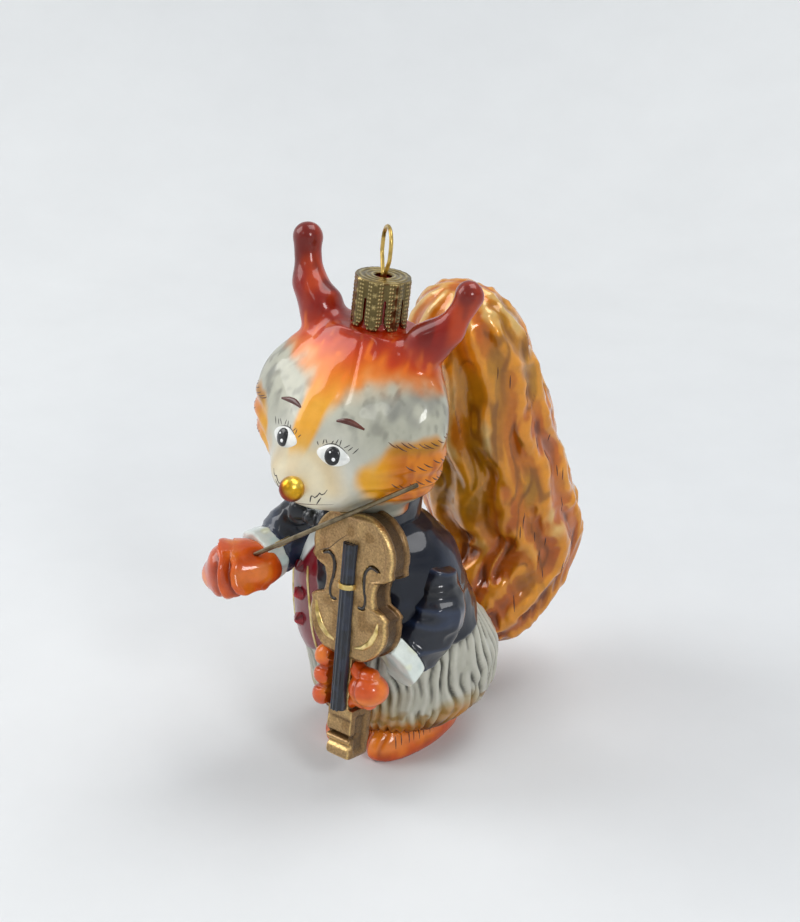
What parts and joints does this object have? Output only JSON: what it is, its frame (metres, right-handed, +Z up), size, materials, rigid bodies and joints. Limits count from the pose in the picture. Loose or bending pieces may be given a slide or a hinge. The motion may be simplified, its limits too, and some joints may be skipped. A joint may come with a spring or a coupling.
{
  "type": "squirrel figurine",
  "caption": "Glossy hanging glass squirrel in a tailcoat playing a violin, standing on its own feet, with a petalled metal cap and a spring wire loop on its crown.",
  "frame": {"origin": "on the floor, on the flat of the body's underside between the feet", "axes": "+Z up, the squirrel faces -Y, its left side is +X"},
  "size_m": [0.0562, 0.0997, 0.1281],
  "materials": {
    "coat_lacquer": "gloss lacquer",
    "head_lacquer": "gloss lacquer",
    "ear_lacquer": "gloss lacquer",
    "tail_lacquer": "gloss lacquer",
    "paw_lacquer": "gloss lacquer",
    "linen_lacquer": "gloss lacquer",
    "tie_lacquer": "gloss lacquer",
    "nose_gold": "gloss lacquer",
    "bead_glass": "gloss lacquer",
    "violin_bronze": "bronze paint on a resin casting",
    "fingerboard_lacquer": "gloss lacquer",
    "gilt_paint": "gilt paint",
    "bow_wire": "aged wire",
    "cap_metal": "antique embossed",
    "hanger_metal": "bright wire"
  },
  "bodies": {
    "figurine": {"body_shell": "coat_lacquer", "head_shell": "head_lacquer", "left_ear": "ear_lacquer", "right_ear": "ear_lacquer", "tail_shell": "tail_lacquer", "left_foot": "paw_lacquer", "right_foot": "paw_lacquer", "left_hand": "paw_lacquer", "right_hand": "paw_lacquer", "left_sleeve": "coat_lacquer", "right_sleeve": "coat_lacquer", "left_cuff": "linen_lacquer", "right_cuff": "linen_lacquer", "collar": "linen_lacquer", "bow_tie": "tie_lacquer", "nose_bead": "nose_gold", "waistcoat_beads": "bead_glass", "violin_body": "violin_bronze", "violin_neck": "violin_bronze", "fingerboard": "fingerboard_lacquer", "violin_bridge": "gilt_paint", "bow_frog": "gilt_paint", "bow_stick": "bow_wire"},
    "cap": {"cap": "cap_metal"},
    "hanger": {"hanger_wire": "hanger_metal"}
  },
  "joints": [
    {"name": "cap_lift", "type": "slide", "parent": "figurine", "child": "cap", "axis": [0.0767, 0.0782, 0.994], "range_m": [0, 0.016]},
    {"name": "hanger_swivel", "type": "hinge", "parent": "cap", "child": "hanger", "pos_m": [0.00382, -0.00713, 0.11707], "axis": [0.0767, 0.0782, 0.994], "continuous": true}
  ]
}
